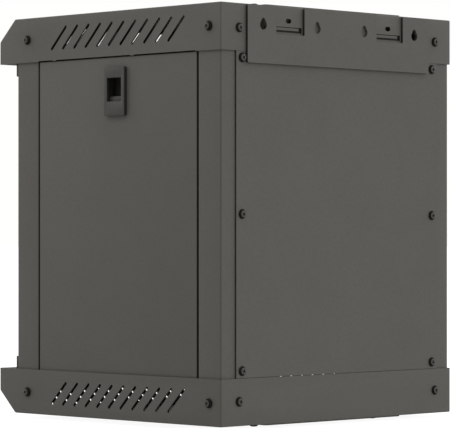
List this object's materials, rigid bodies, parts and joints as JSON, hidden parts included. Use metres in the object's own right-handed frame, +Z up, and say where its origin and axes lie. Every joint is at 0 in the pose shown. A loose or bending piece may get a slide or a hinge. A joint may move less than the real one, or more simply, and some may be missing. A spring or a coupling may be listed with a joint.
{
  "type": "ten-inch wall rack cabinet",
  "caption": "Small wall-mount rack cabinet with slotted caps, a glass front door, lift-off side panels with slide latches and a rear wall bracket.",
  "frame": {"origin": "on the floor under the middle of the cabinet's overall box", "axes": "+Z up, -Y towards the glass door, +Y towards the wall, +X to the right seen from the front, on the hinge side"},
  "size_m": [0.3098, 0.3026, 0.3788],
  "materials": {
    "paint": "fine textured dark grey powder coat",
    "inner_paint": "satin black powder coat",
    "latch_plastic": "moulded matt",
    "screw_black": "black oxide",
    "clamp_black": "satin black cast zinc",
    "zinc": "zinc plated",
    "glass": "clear toughened glass",
    "rubber": "matt"
  },
  "bodies": {
    "cabinet": {"back_panel": "paint", "back_panel_screw_lower_left": "screw_black", "back_panel_screw_lower_right": "screw_black", "back_panel_screw_middle_left": "screw_black", "back_panel_screw_middle_right": "screw_black", "back_panel_screw_upper_left": "screw_black", "back_panel_screw_upper_right": "screw_black", "bottom_cap": "paint", "cable_cover_bottom_front": "paint", "cable_cover_bottom_rear": "paint", "cable_cover_top_rear": "paint", "cover_screw_bottom_front_left": "screw_black", "cover_screw_bottom_front_right": "screw_black", "cover_screw_bottom_rear_left": "screw_black", "cover_screw_bottom_rear_right": "screw_black", "cover_screw_top_rear_left": "screw_black", "cover_screw_top_rear_right": "screw_black", "door_bumper_lower": "rubber", "door_bumper_upper": "rubber", "earth_stud": "zinc", "front_post_left": "paint", "front_post_right": "paint", "hinge_pin_lower": "zinc", "hinge_pin_upper": "zinc", "rack_rail_left": "inner_paint", "rack_rail_right": "inner_paint", "rail_bar_lower_left": "inner_paint", "rail_bar_lower_right": "inner_paint", "rail_bar_upper_left": "inner_paint", "rail_bar_upper_right": "inner_paint", "rear_post_left": "paint", "rear_post_right": "paint", "rear_screw_lower_left": "screw_black", "rear_screw_lower_right": "screw_black", "rear_screw_upper_left": "screw_black", "rear_screw_upper_right": "screw_black", "side_screw_front_lower_left": "screw_black", "side_screw_front_lower_right": "screw_black", "side_screw_front_upper_left": "screw_black", "side_screw_front_upper_right": "screw_black", "side_screw_rear_lower_left": "screw_black", "side_screw_rear_lower_right": "screw_black", "side_screw_rear_upper_left": "screw_black", "side_screw_rear_upper_right": "screw_black", "top_cap": "paint", "wall_bracket": "paint", "wall_hook_left": "paint", "wall_hook_right": "paint"},
    "door": {"glass_door": "glass", "hinge_clamp_lower": "clamp_black", "hinge_clamp_upper": "clamp_black", "lock_housing": "clamp_black"},
    "lock_core": {"lock_cylinder": "zinc", "lock_cam": "zinc"},
    "panel_left": {"side_panel_left": "paint", "latch_housing_left": "latch_plastic"},
    "panel_right": {"side_panel_right": "paint", "latch_housing_right": "latch_plastic"},
    "latch_left": {"latch_slider_left": "latch_plastic"},
    "latch_right": {"latch_slider_right": "latch_plastic"}
  },
  "joints": [
    {"name": "door_hinge", "type": "hinge", "parent": "cabinet", "child": "door", "pos_m": [0.1352, -0.13555, 0.1894], "axis": [0, 0, 1], "range_deg": [0, 180]},
    {"name": "lock_turn", "type": "hinge", "parent": "door", "child": "lock_core", "pos_m": [-0.118, -0.13555, 0.1894], "axis": [0, -1, 0], "range_deg": [0, 90]},
    {"name": "side_panel_left_off", "type": "slide", "parent": "cabinet", "child": "panel_left", "axis": [-1, 0, 0], "range_m": [0, 0.15]},
    {"name": "side_panel_right_off", "type": "slide", "parent": "cabinet", "child": "panel_right", "axis": [1, 0, 0], "range_m": [0, 0.15]},
    {"name": "latch_left_pull", "type": "slide", "parent": "panel_left", "child": "latch_left", "axis": [0, 0, -1], "range_m": [0, 0.006], "stiffness_N_per_m": 300},
    {"name": "latch_right_pull", "type": "slide", "parent": "panel_right", "child": "latch_right", "axis": [0, 0, -1], "range_m": [0, 0.006], "stiffness_N_per_m": 300}
  ]
}
